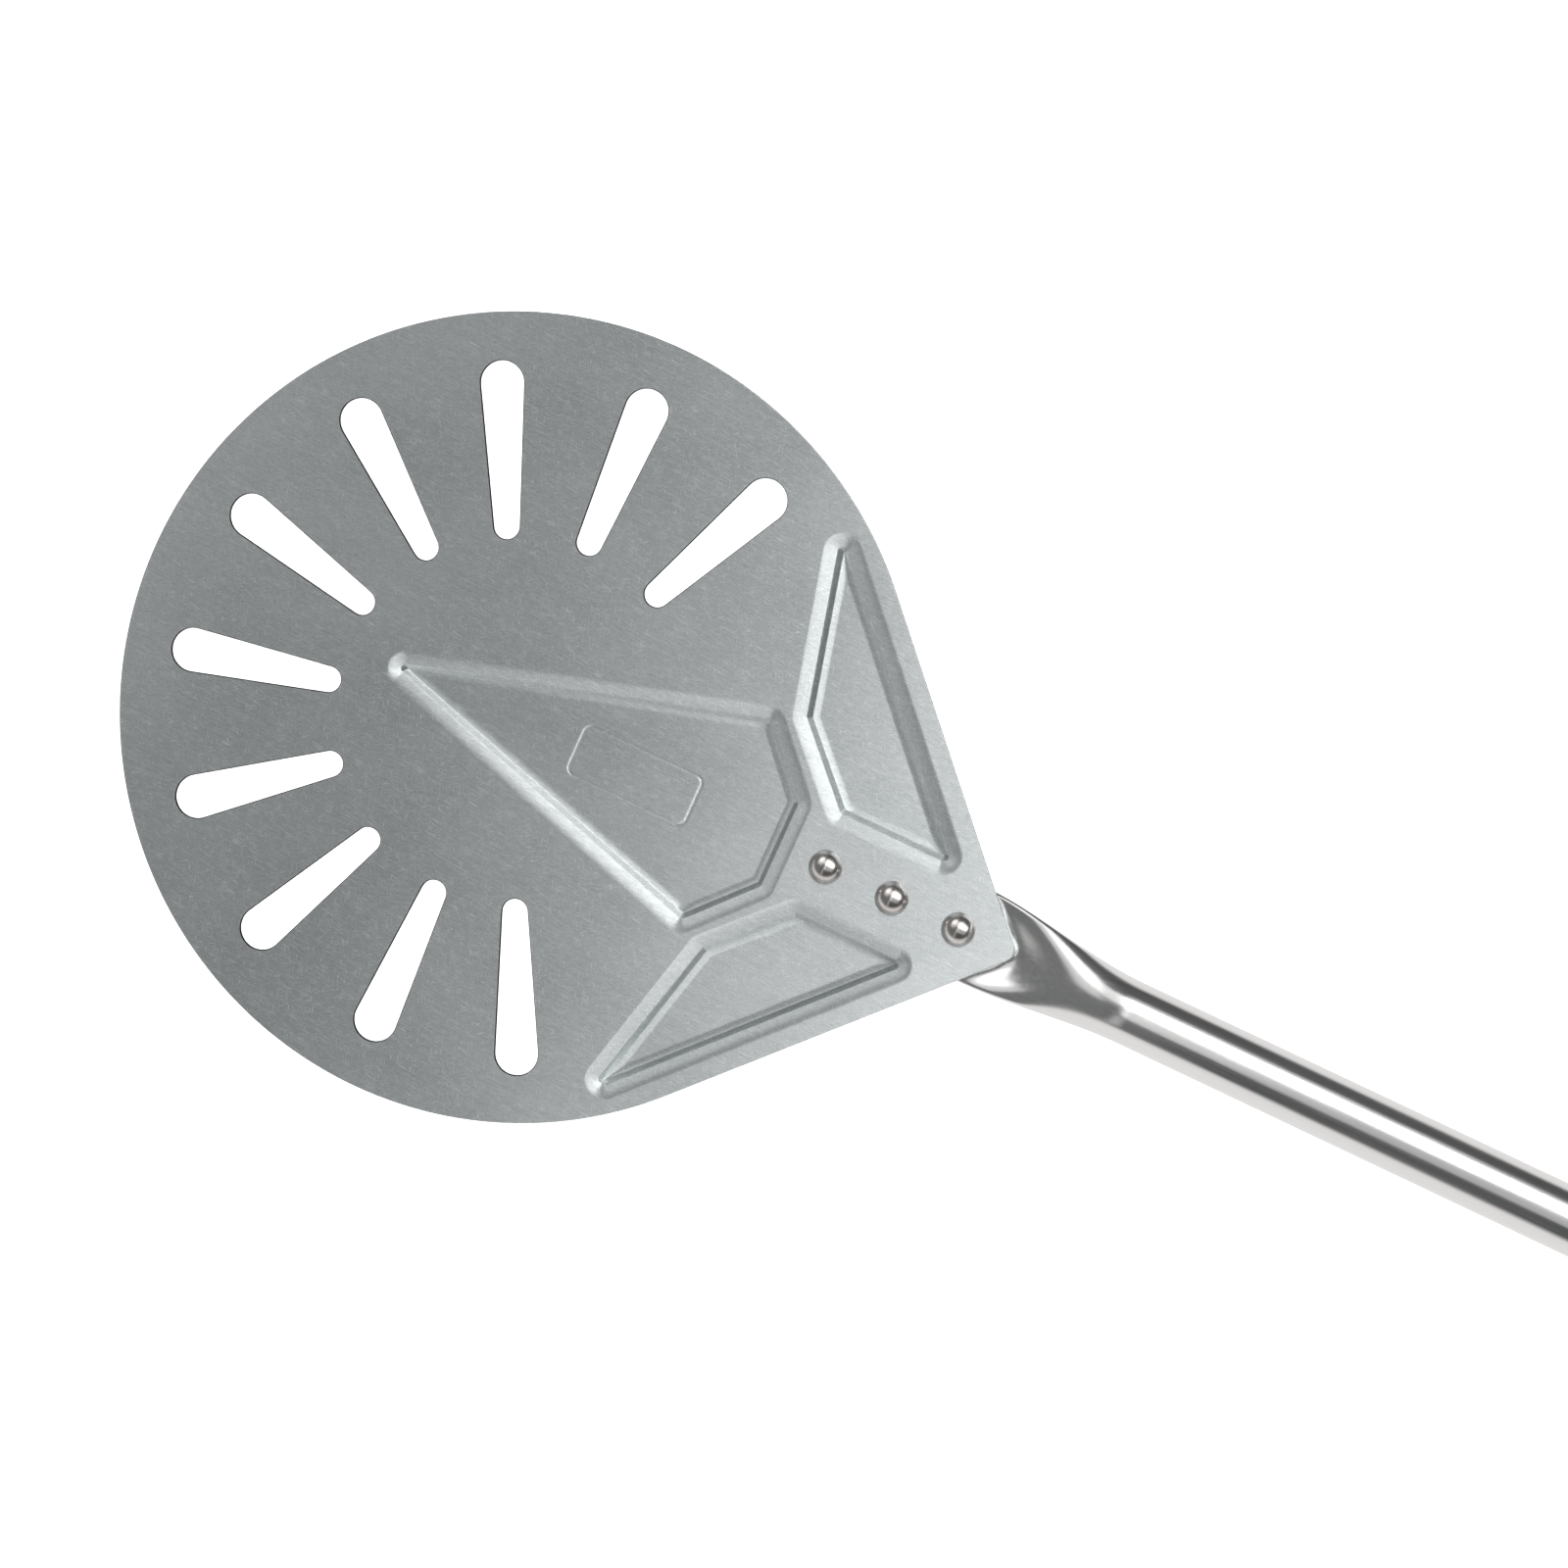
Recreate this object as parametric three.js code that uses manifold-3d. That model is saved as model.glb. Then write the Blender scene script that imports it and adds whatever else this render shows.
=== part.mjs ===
// Perforated turning peel: a pressed steel blade riveted to the flattened end of a round steel tube, with
// a polymer sleeve that slides along the tube and a fixed polymer grip with a hanging eye at its end.
//
// Frame, in millimetres: the origin is the centre of the round head, on the plane that the peel lies on.
// +X runs back along the handle, +Z points up, out of the face that carries the pizza.

import * as THREE from "three";
import { mergeVertices } from "three/addons/utils/BufferGeometryUtils.js";
import Module from "manifold-3d";

// Blade
const HEAD_RADIUS = 100;
const SHEET = 1; // thickness of the steel sheet
const PAN_DEPTH = 3; // how far the pressed pans sink below the flat of the sheet
const TAIL_HALF_ANGLE = THREE.MathUtils.degToRad(46.9); // between the handle axis and each straight side
const TAIL_ROUND = 3; // radius of the rounded tail tip

// Slots that let loose flour fall through
const SLOT_COUNT = 10;
const SLOT_STEP = THREE.MathUtils.degToRad(25.55);
const SLOT_INNER_END = 44.3;
const SLOT_OUTER_END = 88;
const SLOT_INNER_RADIUS = 3.2;
const SLOT_OUTER_RADIUS = 5.4;

// Pressed pans: the corners of each floor, and the bend that rises from it to the flat of the sheet
const CENTRE_PAN = [
  [-29.5, 0],
  [57.9, -25.6],
  [71.5, -10.7],
  [71.5, 10.7],
  [57.9, 25.6],
];
const SIDE_PAN = [
  [57.4, 71.4],
  [67.2, 31.8],
  [83.8, 14.7],
  [110.3, 14.7],
];
const BEND_WIDTH = 5;
const BEND_POWER = 2.6; // how steep the wall is beside the floor
const BEND_RINGS = 6;
const CREASE_RADIUS = 0.3;

// Rivets
const RIVET_NAMES = ["rivet_front", "rivet_middle", "rivet_rear"];
const FIRST_RIVET = 85.4;
const RIVET_PITCH = 17.9;
const RIVET_HEAD_RADIUS = 4.2;
const RIVET_HEAD_HEIGHT = 3;
const RIVET_SHANK_RADIUS = 2.5;
const RIVET_TAIL_RADIUS = 3.6;
const RIVET_TAIL_DEPTH = 1.2;

// Tube
const GAP = 0.3; // left between pieces that touch
const TUBE_RADIUS = 8;
const TUBE_WALL = 1.2;
const TUBE_FRONT = 78; // front end of the flattened stretch, hidden under the blade
const FLAT_WIDTH = 24;
const FLAT_HEIGHT = 2 * TUBE_WALL; // the two walls pressed together
const NECK_START = 124; // where the folded edges begin to open out
const NECK_END = 168; // where the tube is round
const CROWN_LAG = 11; // how much further back the top of the tube starts to rise than its edges
const CROWN_SOFTNESS = 0.15; // how gently that rise starts, as a share of its length
const BORE_TAPER = 12; // how far the bore's front end narrows as the neck closes
const BORE_TIP_RADIUS = 4;
const HANDLE_LENGTH = 750; // from the tail tip to the end of the grip

// Grips, as distances back from the end of the neck along the tube
const TUBE_REAR = 668;
const SLEEVE_FRONT = 430;
const SLEEVE_LENGTH = 140;
const SLEEVE_RADIUS = 12;
const SLEEVE_WAIST = 0.9; // how far the sleeve narrows in front of and behind its middle swell
const SLEEVE_SWELL = 0.6; // how far it swells again between the two waists
const SLEEVE_CHAMFER = 1;
const BUSH_LENGTH = 12;
const BUSH_FLANGE = 1.5;
const BUSH_RADIUS = 10.2;
const GRIP_FRONT = 588;
const GRIP_RADIUS = 12;
const GRIP_CHAMFER = 1.2;
const GRIP_SWELL = 0.6; // how far the barrel of the grip swells in its middle
const GRIP_BARREL = 54; // length of the barrel in front of the flare
const POMMEL_RADIUS = 15;
const POMMEL_PLACE = 662;
const POMMEL_CROWN = 0.8; // how far the pommel's rim is rounded down, over half its width
const POMMEL_HALF_WIDTH = 5;
const POMMEL_BACK = 18; // from the pommel's widest place to the end of its back slope
const EYE_THICKNESS = 12;
const EYE_RADIUS = 7; // the hole that the peel hangs by
const EYE_RING_RADIUS = 14;
const PLUG_LENGTH = 45;
const PIN_RADIUS = 2;
const PIN_PLACE = 646;

// Heights and places that follow from the sizes above
const sheetTop = PAN_DEPTH + SHEET;
const flatTop = PAN_DEPTH - GAP;
const flatBottom = flatTop - FLAT_HEIGHT;
const tubeAxisHeight = flatBottom + TUBE_RADIUS;
const tailTip = HEAD_RADIUS / Math.sin(TAIL_HALF_ANGLE) - TAIL_ROUND * (1 / Math.sin(TAIL_HALF_ANGLE) - 1);
const handleEnd = tailTip + HANDLE_LENGTH - NECK_END;
const boreRadius = TUBE_RADIUS - TUBE_WALL;
// The tube rises just enough for the peel to lie on its pans and on the pommel of the grip.
const handleRise = Math.asin((POMMEL_RADIUS - tubeAxisHeight) / POMMEL_PLACE);

const wasm = await Module();
wasm.setup();

// A closed three.js geometry as a solid that can be cut and joined.
function solid(geometry) {
  const bare = geometry.clone();
  bare.deleteAttribute("normal");
  bare.deleteAttribute("uv");
  const merged = mergeVertices(bare, 1e-4);
  const vertProperties = new Float32Array(merged.attributes.position.array);
  const triVerts = new Uint32Array(merged.index.array);
  return new wasm.Manifold(new wasm.Mesh({ numProp: 3, vertProperties, triVerts }));
}

// The other way round: a solid as a three.js geometry with flat-shaded faces.
function geometryOf(body) {
  const mesh = body.getMesh();
  const geometry = new THREE.BufferGeometry();
  geometry.setAttribute("position", new THREE.BufferAttribute(mesh.vertProperties, 3));
  geometry.setIndex(new THREE.BufferAttribute(mesh.triVerts, 1));
  const flat = geometry.toNonIndexed();
  flat.computeVertexNormals();
  return flat;
}

// The tube and its grips are laid out along +X from the end of the neck, and turned up by the rise.
const handle = new THREE.Group();
handle.position.set(NECK_END, 0, tubeAxisHeight);
handle.rotation.y = -handleRise;
handle.updateMatrix();

// A closed profile of [radius, distance] pairs turned about the X axis.
function turned(profile, segments = 48) {
  const points = profile.map(([radius, along]) => new THREE.Vector2(radius, along));
  return new THREE.LatheGeometry(points, segments).rotateZ(-Math.PI / 2);
}

// The same, turned about the Z axis.
function turnedUpright(profile, segments = 32) {
  const points = profile.map(([radius, height]) => new THREE.Vector2(radius, height));
  return new THREE.LatheGeometry(points, segments).rotateX(Math.PI / 2);
}

function upright(radius, bottom, top, x) {
  return new THREE.CylinderGeometry(radius, radius, top - bottom, 32)
    .rotateX(Math.PI / 2)
    .translate(x, 0, (bottom + top) / 2);
}

const steel = new THREE.MeshStandardMaterial({ color: 0x9fa3a1, metalness: 1, roughness: 0.42 });
const polishedSteel = new THREE.MeshStandardMaterial({ color: 0xc4c3c2, metalness: 1, roughness: 0.14 });
const rivetSteel = new THREE.MeshStandardMaterial({ color: 0xb3aca7, metalness: 1, roughness: 0.22 });
const gripPolymer = new THREE.MeshStandardMaterial({ color: 0x26282a, metalness: 0, roughness: 0.62 });
const bushPolymer = new THREE.MeshStandardMaterial({ color: 0x6d7072, metalness: 0, roughness: 0.45 });

function named(name, geometry, material) {
  const mesh = new THREE.Mesh(geometry, material);
  mesh.name = name;
  return mesh;
}

// Blade -----------------------------------------------------------------------------------------------

// The head's circle runs into two straight sides that meet at the rounded tail.
function bladeOutline() {
  const touch = Math.PI / 2 - TAIL_HALF_ANGLE;
  const stretches = 6;
  const turn = (2 * Math.PI - 2 * touch) / stretches;
  const outline = new THREE.Shape();
  for (let i = 0; i < stretches; i++) {
    const from = touch + i * turn;
    outline.absarc(0, 0, HEAD_RADIUS, from, from + turn, false);
  }
  outline.absarc(tailTip - TAIL_ROUND, 0, TAIL_ROUND, -touch, touch, false);
  return outline;
}

// A tapered slot with round ends, pointing along its own +X.
function slotPath(angle) {
  const inner = SLOT_INNER_END + SLOT_INNER_RADIUS;
  const outer = SLOT_OUTER_END - SLOT_OUTER_RADIUS;
  const lean = Math.PI / 2 + Math.asin((SLOT_OUTER_RADIUS - SLOT_INNER_RADIUS) / (outer - inner));
  const path = new THREE.Path();
  const at = (distance) => [distance * Math.cos(angle), distance * Math.sin(angle)];
  path.absarc(...at(inner), SLOT_INNER_RADIUS, angle + lean, angle - lean, false);
  path.absarc(...at(outer), SLOT_OUTER_RADIUS, angle - lean, angle + lean, false);
  return path;
}

function flatSheet() {
  const outline = bladeOutline();
  for (let i = 0; i < SLOT_COUNT; i++) {
    const angle = Math.PI + (i - (SLOT_COUNT - 1) / 2) * SLOT_STEP;
    outline.holes.push(slotPath(angle));
  }
  return new THREE.ExtrudeGeometry(outline, { depth: SHEET, bevelEnabled: false, curveSegments: 8 });
}

// The hollow of one pan: its floor outline at the bottom, flaring out in a soft bend to the sheet's face.
// Every corner of the widest ring is an arc around a floor corner, so each ring is that arc drawn in.
function panHollow(corners) {
  const reach = CREASE_RADIUS + BEND_WIDTH;
  const points = corners.map(([x, y]) => new THREE.Vector2(x, y));
  if (THREE.ShapeUtils.isClockWise(points)) {
    points.reverse();
  }
  const outline = new THREE.Shape();
  points.forEach((corner, i) => {
    const before = points[(i + points.length - 1) % points.length];
    const after = points[(i + 1) % points.length];
    const from = corner.clone().sub(before).angle() - Math.PI / 2;
    const to = after.clone().sub(corner).angle() - Math.PI / 2;
    outline.absarc(corner.x, corner.y, reach, from, to, false);
  });
  const geometry = new THREE.ExtrudeGeometry(outline, {
    depth: 1,
    steps: BEND_RINGS,
    bevelEnabled: false,
    curveSegments: 3,
  });
  const position = geometry.attributes.position;
  const place = new THREE.Vector2();
  for (let i = 0; i < position.count; i++) {
    place.set(position.getX(i), position.getY(i));
    const corner = points.reduce((a, b) => (place.distanceTo(a) < place.distanceTo(b) ? a : b));
    const share = position.getZ(i);
    const offset = CREASE_RADIUS + BEND_WIDTH * share;
    place.sub(corner).setLength(offset).add(corner);
    const rise = PAN_DEPTH * (1 - Math.pow(1 - share, BEND_POWER));
    position.setXYZ(i, place.x, place.y, rise);
  }
  return geometry;
}

function blade() {
  const mirrored = SIDE_PAN.map(([x, y]) => [x, -y]);
  const hollows = [CENTRE_PAN, SIDE_PAN, mirrored].map((corners) => solid(panHollow(corners)));
  let body = solid(flatSheet()).translate([0, 0, PAN_DEPTH]);
  hollows.forEach((hollow) => {
    body = body.add(hollow);
  });
  hollows.forEach((hollow) => {
    body = body.subtract(hollow.translate([0, 0, SHEET]));
  });
  RIVET_NAMES.forEach((_, i) => {
    const x = FIRST_RIVET + i * RIVET_PITCH;
    body = body.subtract(solid(upright(RIVET_SHANK_RADIUS + GAP, 0, sheetTop + 1, x)));
  });
  return named("blade", geometryOf(body), steel);
}

// Rivets ----------------------------------------------------------------------------------------------

// A domed head on the blade, a plain shank, and a tail set flush in the countersink under the tube.
function rivetProfile() {
  const seat = sheetTop + GAP;
  const domeRadius = (RIVET_HEAD_RADIUS ** 2 + RIVET_HEAD_HEIGHT ** 2) / (2 * RIVET_HEAD_HEIGHT);
  const halfAngle = Math.asin(RIVET_HEAD_RADIUS / domeRadius);
  const steps = 8;
  const profile = [
    [0, flatBottom],
    [RIVET_TAIL_RADIUS, flatBottom],
    [RIVET_SHANK_RADIUS, flatBottom + RIVET_TAIL_DEPTH],
    [RIVET_SHANK_RADIUS, seat],
  ];
  for (let i = 0; i <= steps; i++) {
    const angle = halfAngle * (1 - i / steps);
    const height = seat + RIVET_HEAD_HEIGHT - domeRadius * (1 - Math.cos(angle));
    profile.push([domeRadius * Math.sin(angle), height]);
  }
  return profile;
}

function rivet(name, i) {
  const mesh = named(name, turnedUpright(rivetProfile()), rivetSteel);
  mesh.position.x = FIRST_RIVET + i * RIVET_PITCH;
  return mesh;
}

// Tube ------------------------------------------------------------------------------------------------

// The strip that the flattened tube makes, with half-round edges. Going round it by angle covers the same
// share of its length as on the round tube, because that is how the steel is pressed.
function stripPoint(angle) {
  const half = FLAT_HEIGHT / 2;
  const flatLength = FLAT_WIDTH / 2 - half;
  const edgeLength = (half * Math.PI) / 2;
  const side = Math.cos(angle);
  const up = Math.sin(angle);
  const share = Math.asin(Math.abs(up)) / (Math.PI / 2);
  const travelled = share * (edgeLength + flatLength);
  const turn = Math.min(travelled / half, Math.PI / 2);
  const inward = Math.max(0, travelled - edgeLength);
  const y = flatLength - inward + half * Math.cos(turn);
  const z = half * Math.sin(turn);
  return [Math.sign(side) * y, Math.sign(up) * z + half - TUBE_RADIUS];
}

// A straight ramp from 0 to 1 whose start is rounded off.
function softRamp(t) {
  return ((1 + CROWN_SOFTNESS) * t * t) / (t + CROWN_SOFTNESS);
}

// A point on the tube's skin. The strip opens into a circle, and its crown rises later than its edges,
// just behind the V of the blade, which leaves a tongue-shaped valley there.
function skinPoint(angle, x) {
  const up = Math.sin(angle);
  const [stripY, stripZ] = stripPoint(angle);
  const open = THREE.MathUtils.smoothstep(x, NECK_START, NECK_END);
  const riseStart = NECK_START + CROWN_LAG * softRamp(Math.max(0, up));
  const risen = softRamp(THREE.MathUtils.clamp((x - riseStart) / (NECK_END - riseStart), 0, 1));
  const rise = risen * (2 - risen);
  const y = THREE.MathUtils.lerp(stripY, TUBE_RADIUS * Math.cos(angle), open);
  const z = THREE.MathUtils.lerp(stripZ, TUBE_RADIUS * up, rise);
  return new THREE.Vector3(x - NECK_END, y, z);
}

// A circle extruded in steps, each moved to its own section of the tube. The stations run from the front
// of the strip through the neck, and one last step reaches the rear end.
function tubeSkin() {
  const neckSteps = 22;
  const stations = [TUBE_FRONT];
  for (let i = 0; i <= neckSteps; i++) {
    stations.push(NECK_START + ((NECK_END - NECK_START) * i) / neckSteps);
  }
  stations.push(NECK_END + TUBE_REAR);
  const circle = new THREE.Shape();
  circle.absarc(0, 0, 1, 0, 2 * Math.PI, false);
  const steps = stations.length - 1;
  const geometry = new THREE.ExtrudeGeometry(circle, {
    depth: 1,
    steps,
    bevelEnabled: false,
    curveSegments: 24,
  });
  const position = geometry.attributes.position;
  const level = new THREE.Matrix4().makeTranslation(NECK_END, 0, tubeAxisHeight);
  for (let i = 0; i < position.count; i++) {
    const angle = Math.atan2(position.getY(i), position.getX(i));
    const station = Math.round(position.getZ(i) * steps);
    const place = skinPoint(angle, stations[station]);
    place.applyMatrix4(station === steps ? handle.matrix : level);
    position.setXYZ(i, place.x, place.y, place.z);
  }
  return geometry;
}

function crossHole(radius) {
  return solid(new THREE.CylinderGeometry(radius, radius, 4 * POMMEL_RADIUS, 24).translate(PIN_PLACE, 0, 0));
}

function handleTube() {
  const bore = [
    [0, -BORE_TAPER / 2],
    [BORE_TIP_RADIUS, -BORE_TAPER / 2],
    [boreRadius, BORE_TAPER / 2],
    [boreRadius, TUBE_REAR + 1],
    [0, TUBE_REAR + 1],
  ];
  const inside = solid(turned(bore)).add(crossHole(PIN_RADIUS + GAP));
  let body = solid(tubeSkin()).subtract(inside.transform(handle.matrix.elements));
  RIVET_NAMES.forEach((_, i) => {
    const hole = [
      [0, flatBottom - 1],
      [RIVET_TAIL_RADIUS + 2 * GAP, flatBottom - 1],
      [RIVET_TAIL_RADIUS + 2 * GAP, flatBottom],
      [RIVET_SHANK_RADIUS + GAP, flatBottom + RIVET_TAIL_DEPTH + GAP],
      [RIVET_SHANK_RADIUS + GAP, flatTop + 1],
      [0, flatTop + 1],
    ];
    body = body.subtract(solid(turnedUpright(hole)).translate([FIRST_RIVET + i * RIVET_PITCH, 0, 0]));
  });
  return named("handle_tube", geometryOf(body), polishedSteel);
}

// Grips -----------------------------------------------------------------------------------------------

// The sleeve turns and slides on the tube on the two bushes pressed into its ends.
function slidingSleeve() {
  const lip = BUSH_FLANGE + GAP;
  const front = SLEEVE_FRONT + lip;
  const rear = SLEEVE_FRONT + SLEEVE_LENGTH - lip;
  const middle = (front + rear) / 2;
  const collar = 6; // length of the full-width collar at each end
  const waist = 3 * collar;
  const waistRadius = SLEEVE_RADIUS - SLEEVE_WAIST;
  const seat = BUSH_RADIUS + GAP;
  const seatDepth = BUSH_LENGTH + GAP;
  const clearance = TUBE_RADIUS + 3 * GAP;
  return turned([
    [seat, front],
    [SLEEVE_RADIUS - SLEEVE_CHAMFER, front],
    [SLEEVE_RADIUS, front + SLEEVE_CHAMFER],
    [SLEEVE_RADIUS, front + collar],
    [waistRadius, front + waist],
    [waistRadius + SLEEVE_SWELL, middle],
    [waistRadius, rear - waist],
    [SLEEVE_RADIUS, rear - collar],
    [SLEEVE_RADIUS, rear - SLEEVE_CHAMFER],
    [SLEEVE_RADIUS - SLEEVE_CHAMFER, rear],
    [seat, rear],
    [seat, rear - seatDepth],
    [clearance, rear - seatDepth],
    [clearance, front + seatDepth],
    [seat, front + seatDepth],
    [seat, front],
  ]);
}

// A flanged bush, with its flange at the start of its own X axis.
function bush() {
  const bore = TUBE_RADIUS + GAP;
  return turned([
    [bore, 0],
    [SLEEVE_RADIUS - 1, 0],
    [SLEEVE_RADIUS - 1, BUSH_FLANGE],
    [BUSH_RADIUS, BUSH_FLANGE],
    [BUSH_RADIUS, BUSH_FLANGE + BUSH_LENGTH],
    [bore, BUSH_FLANGE + BUSH_LENGTH],
    [bore, 0],
  ]);
}

function endGrip() {
  const socket = TUBE_RADIUS + GAP;
  const socketEnd = TUBE_REAR + GAP;
  const barrel = solid(
    turned([
      [socket, GRIP_FRONT],
      [GRIP_RADIUS - GRIP_CHAMFER, GRIP_FRONT],
      [GRIP_RADIUS, GRIP_FRONT + GRIP_CHAMFER],
      [GRIP_RADIUS + GRIP_SWELL, GRIP_FRONT + GRIP_BARREL / 2],
      [GRIP_RADIUS, GRIP_FRONT + GRIP_BARREL],
      [POMMEL_RADIUS - POMMEL_CROWN, POMMEL_PLACE - POMMEL_HALF_WIDTH],
      [POMMEL_RADIUS, POMMEL_PLACE],
      [POMMEL_RADIUS - POMMEL_CROWN, POMMEL_PLACE + POMMEL_HALF_WIDTH],
      [EYE_THICKNESS / 2, POMMEL_PLACE + POMMEL_BACK],
      [0, POMMEL_PLACE + POMMEL_BACK],
      [0, socketEnd],
      [socket, socketEnd],
      [socket, GRIP_FRONT],
    ]),
  );
  const bevel = 2;
  const plateFront = POMMEL_PLACE + 1.6 * POMMEL_HALF_WIDTH; // inside the pommel's back slope
  const plateHalf = EYE_RING_RADIUS - bevel;
  const ringCentre = handleEnd - EYE_RING_RADIUS;
  const outline = new THREE.Shape();
  outline.moveTo(plateFront, plateHalf);
  outline.lineTo(ringCentre, plateHalf);
  outline.absarc(ringCentre, 0, plateHalf, Math.PI / 2, -Math.PI / 2, true);
  outline.lineTo(plateFront, -plateHalf);
  const eye = new THREE.ExtrudeGeometry(outline, {
    depth: EYE_THICKNESS - 2 * bevel,
    bevelThickness: bevel,
    bevelSize: bevel,
    bevelSegments: 3,
    curveSegments: 16,
  }).translate(0, 0, bevel - EYE_THICKNESS / 2);
  const hole = new THREE.CylinderGeometry(EYE_RADIUS, EYE_RADIUS, 2 * EYE_THICKNESS, 32)
    .rotateX(Math.PI / 2)
    .translate(ringCentre, 0, 0);
  return geometryOf(barrel.add(solid(eye)).subtract(solid(hole)).subtract(crossHole(PIN_RADIUS + GAP)));
}

function tubePlug() {
  const radius = boreRadius - GAP;
  const blank = new THREE.CylinderGeometry(radius, radius, PLUG_LENGTH, 40)
    .rotateZ(Math.PI / 2)
    .translate(TUBE_REAR - PLUG_LENGTH / 2, 0, 0);
  return geometryOf(solid(blank).subtract(crossHole(PIN_RADIUS + GAP)));
}

function gripPin() {
  return new THREE.CylinderGeometry(PIN_RADIUS, PIN_RADIUS, 2 * GRIP_RADIUS, 24).translate(PIN_PLACE, 0, 0);
}

// Assembly --------------------------------------------------------------------------------------------

handle.add(named("sliding_sleeve", slidingSleeve(), gripPolymer));
const bushFront = named("sleeve_bush_front", bush(), bushPolymer);
bushFront.position.x = SLEEVE_FRONT;
const bushRear = named("sleeve_bush_rear", bush(), bushPolymer);
bushRear.position.x = SLEEVE_FRONT + SLEEVE_LENGTH;
bushRear.rotation.z = Math.PI;
handle.add(bushFront, bushRear);
handle.add(named("end_grip", endGrip(), gripPolymer));
handle.add(named("tube_plug", tubePlug(), bushPolymer));
handle.add(named("grip_pin", gripPin(), polishedSteel));

const peel = new THREE.Group();
peel.add(blade(), handleTube(), ...RIVET_NAMES.map(rivet), handle);

export default peel;
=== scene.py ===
"""Looks of the perforated turning peel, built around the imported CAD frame.

Lengths are millimetres in the frame's own axes, and every mesh is scaled to metres as it is made. X runs
back along the handle, Y across, Z up out of the face that carries the pizza. The design sizes repeat those
in part.mjs.
"""
import math

import bmesh
import bpy
from mathutils import Matrix, Vector
from mathutils.geometry import delaunay_2d_cdt

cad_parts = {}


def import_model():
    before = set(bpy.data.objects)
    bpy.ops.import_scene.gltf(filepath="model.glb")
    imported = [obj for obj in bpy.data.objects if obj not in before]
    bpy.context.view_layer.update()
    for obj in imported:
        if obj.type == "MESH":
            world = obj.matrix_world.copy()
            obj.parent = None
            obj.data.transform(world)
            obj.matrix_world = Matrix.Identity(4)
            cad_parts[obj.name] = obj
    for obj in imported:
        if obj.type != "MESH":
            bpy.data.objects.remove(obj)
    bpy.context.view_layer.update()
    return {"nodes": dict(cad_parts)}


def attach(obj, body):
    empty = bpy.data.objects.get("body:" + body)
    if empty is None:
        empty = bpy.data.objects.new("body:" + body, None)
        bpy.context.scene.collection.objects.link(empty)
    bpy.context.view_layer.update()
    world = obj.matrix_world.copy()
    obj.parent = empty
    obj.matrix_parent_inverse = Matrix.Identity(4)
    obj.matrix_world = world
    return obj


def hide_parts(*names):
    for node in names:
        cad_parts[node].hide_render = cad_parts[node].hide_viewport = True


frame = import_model()

MM = 0.001

# Blade
HEAD_RADIUS = 100.0
SHEET = 1.0
PAN_DEPTH = 3.0
SHEET_TOP = PAN_DEPTH + SHEET
TAIL_HALF_ANGLE = math.radians(46.9)
TAIL_ROUND = 3.0
EDGE_ROUND = 0.22
SLOT_COUNT = 10
SLOT_STEP = math.radians(25.55)
SLOT_INNER_END, SLOT_OUTER_END = 44.3, 88.0
SLOT_INNER_RADIUS, SLOT_OUTER_RADIUS = 3.2, 5.4
CENTRE_PAN = ((-29.5, 0.0), (57.9, -25.6), (71.5, -10.7), (71.5, 10.7), (57.9, 25.6))
SIDE_PAN = ((57.4, 71.4), (67.2, 31.8), (83.8, 14.7), (110.3, 14.7))
# A pan's edge, by distance outwards from its outline: a soft bend, and a short steep wall mixed into it
BEND_INNER, BEND_OUTER = -1.7, 5.0
WALL_FOOT, WALL_HEAD = 0.0, 1.5
WALL_SHARE = 0.5
# The mesh follows rings of points round each pan, at these distances and with this spacing along them. At
# a corner the spacing is measured on an arc a little outside the ring.
RING_SPACING = 2.2
CORNER_SPACING = 0.9
CORNER_REACH = 2.0
BEND_RINGS = (-2.2, -1.7, -1.3, -0.9, -0.5, -0.2, 0.0, 0.15, 0.3, 0.5, 0.7, 0.9, 1.1, 1.3, 1.5, 1.7, 2.0,
              2.4, 2.9, 3.5, 4.2, 5.0, 5.8)
# The blank stamped panel in the middle pan
PANEL_CENTRE = (33.0, 0.0)
PANEL_HALF_SIZE = (16.0, 6.5)
PANEL_CORNER = 2.0
PANEL_GROOVE = 0.07
PANEL_GROOVE_WIDTH = 0.28
PANEL_RINGS = (-0.75, -0.4, -0.2, 0.0, 0.2, 0.4, 0.75)

# Rivets
RIVET_NAMES = ("rivet_front", "rivet_middle", "rivet_rear")
FIRST_RIVET = 85.4
RIVET_PITCH = 17.9
RIVET_HEAD_RADIUS = 4.2
RIVET_HEAD_HEIGHT = 3.0
RIVET_SHANK_RADIUS = 2.5
RIVET_TAIL_RADIUS = 3.6
RIVET_TAIL_DEPTH = 1.2

# Tube
GAP = 0.3
TUBE_RADIUS = 8.0
TUBE_WALL = 1.2
TUBE_FRONT = 78.0
FLAT_WIDTH = 24.0
FLAT_HALF = TUBE_WALL
NECK_START, NECK_END = 124.0, 168.0
CROWN_LAG = 11.0
CROWN_SOFTNESS = 0.15
FLAT_BOTTOM = PAN_DEPTH - GAP - 2 * FLAT_HALF
AXIS_HEIGHT = FLAT_BOTTOM + TUBE_RADIUS
HANDLE_LENGTH = 750.0

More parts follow.
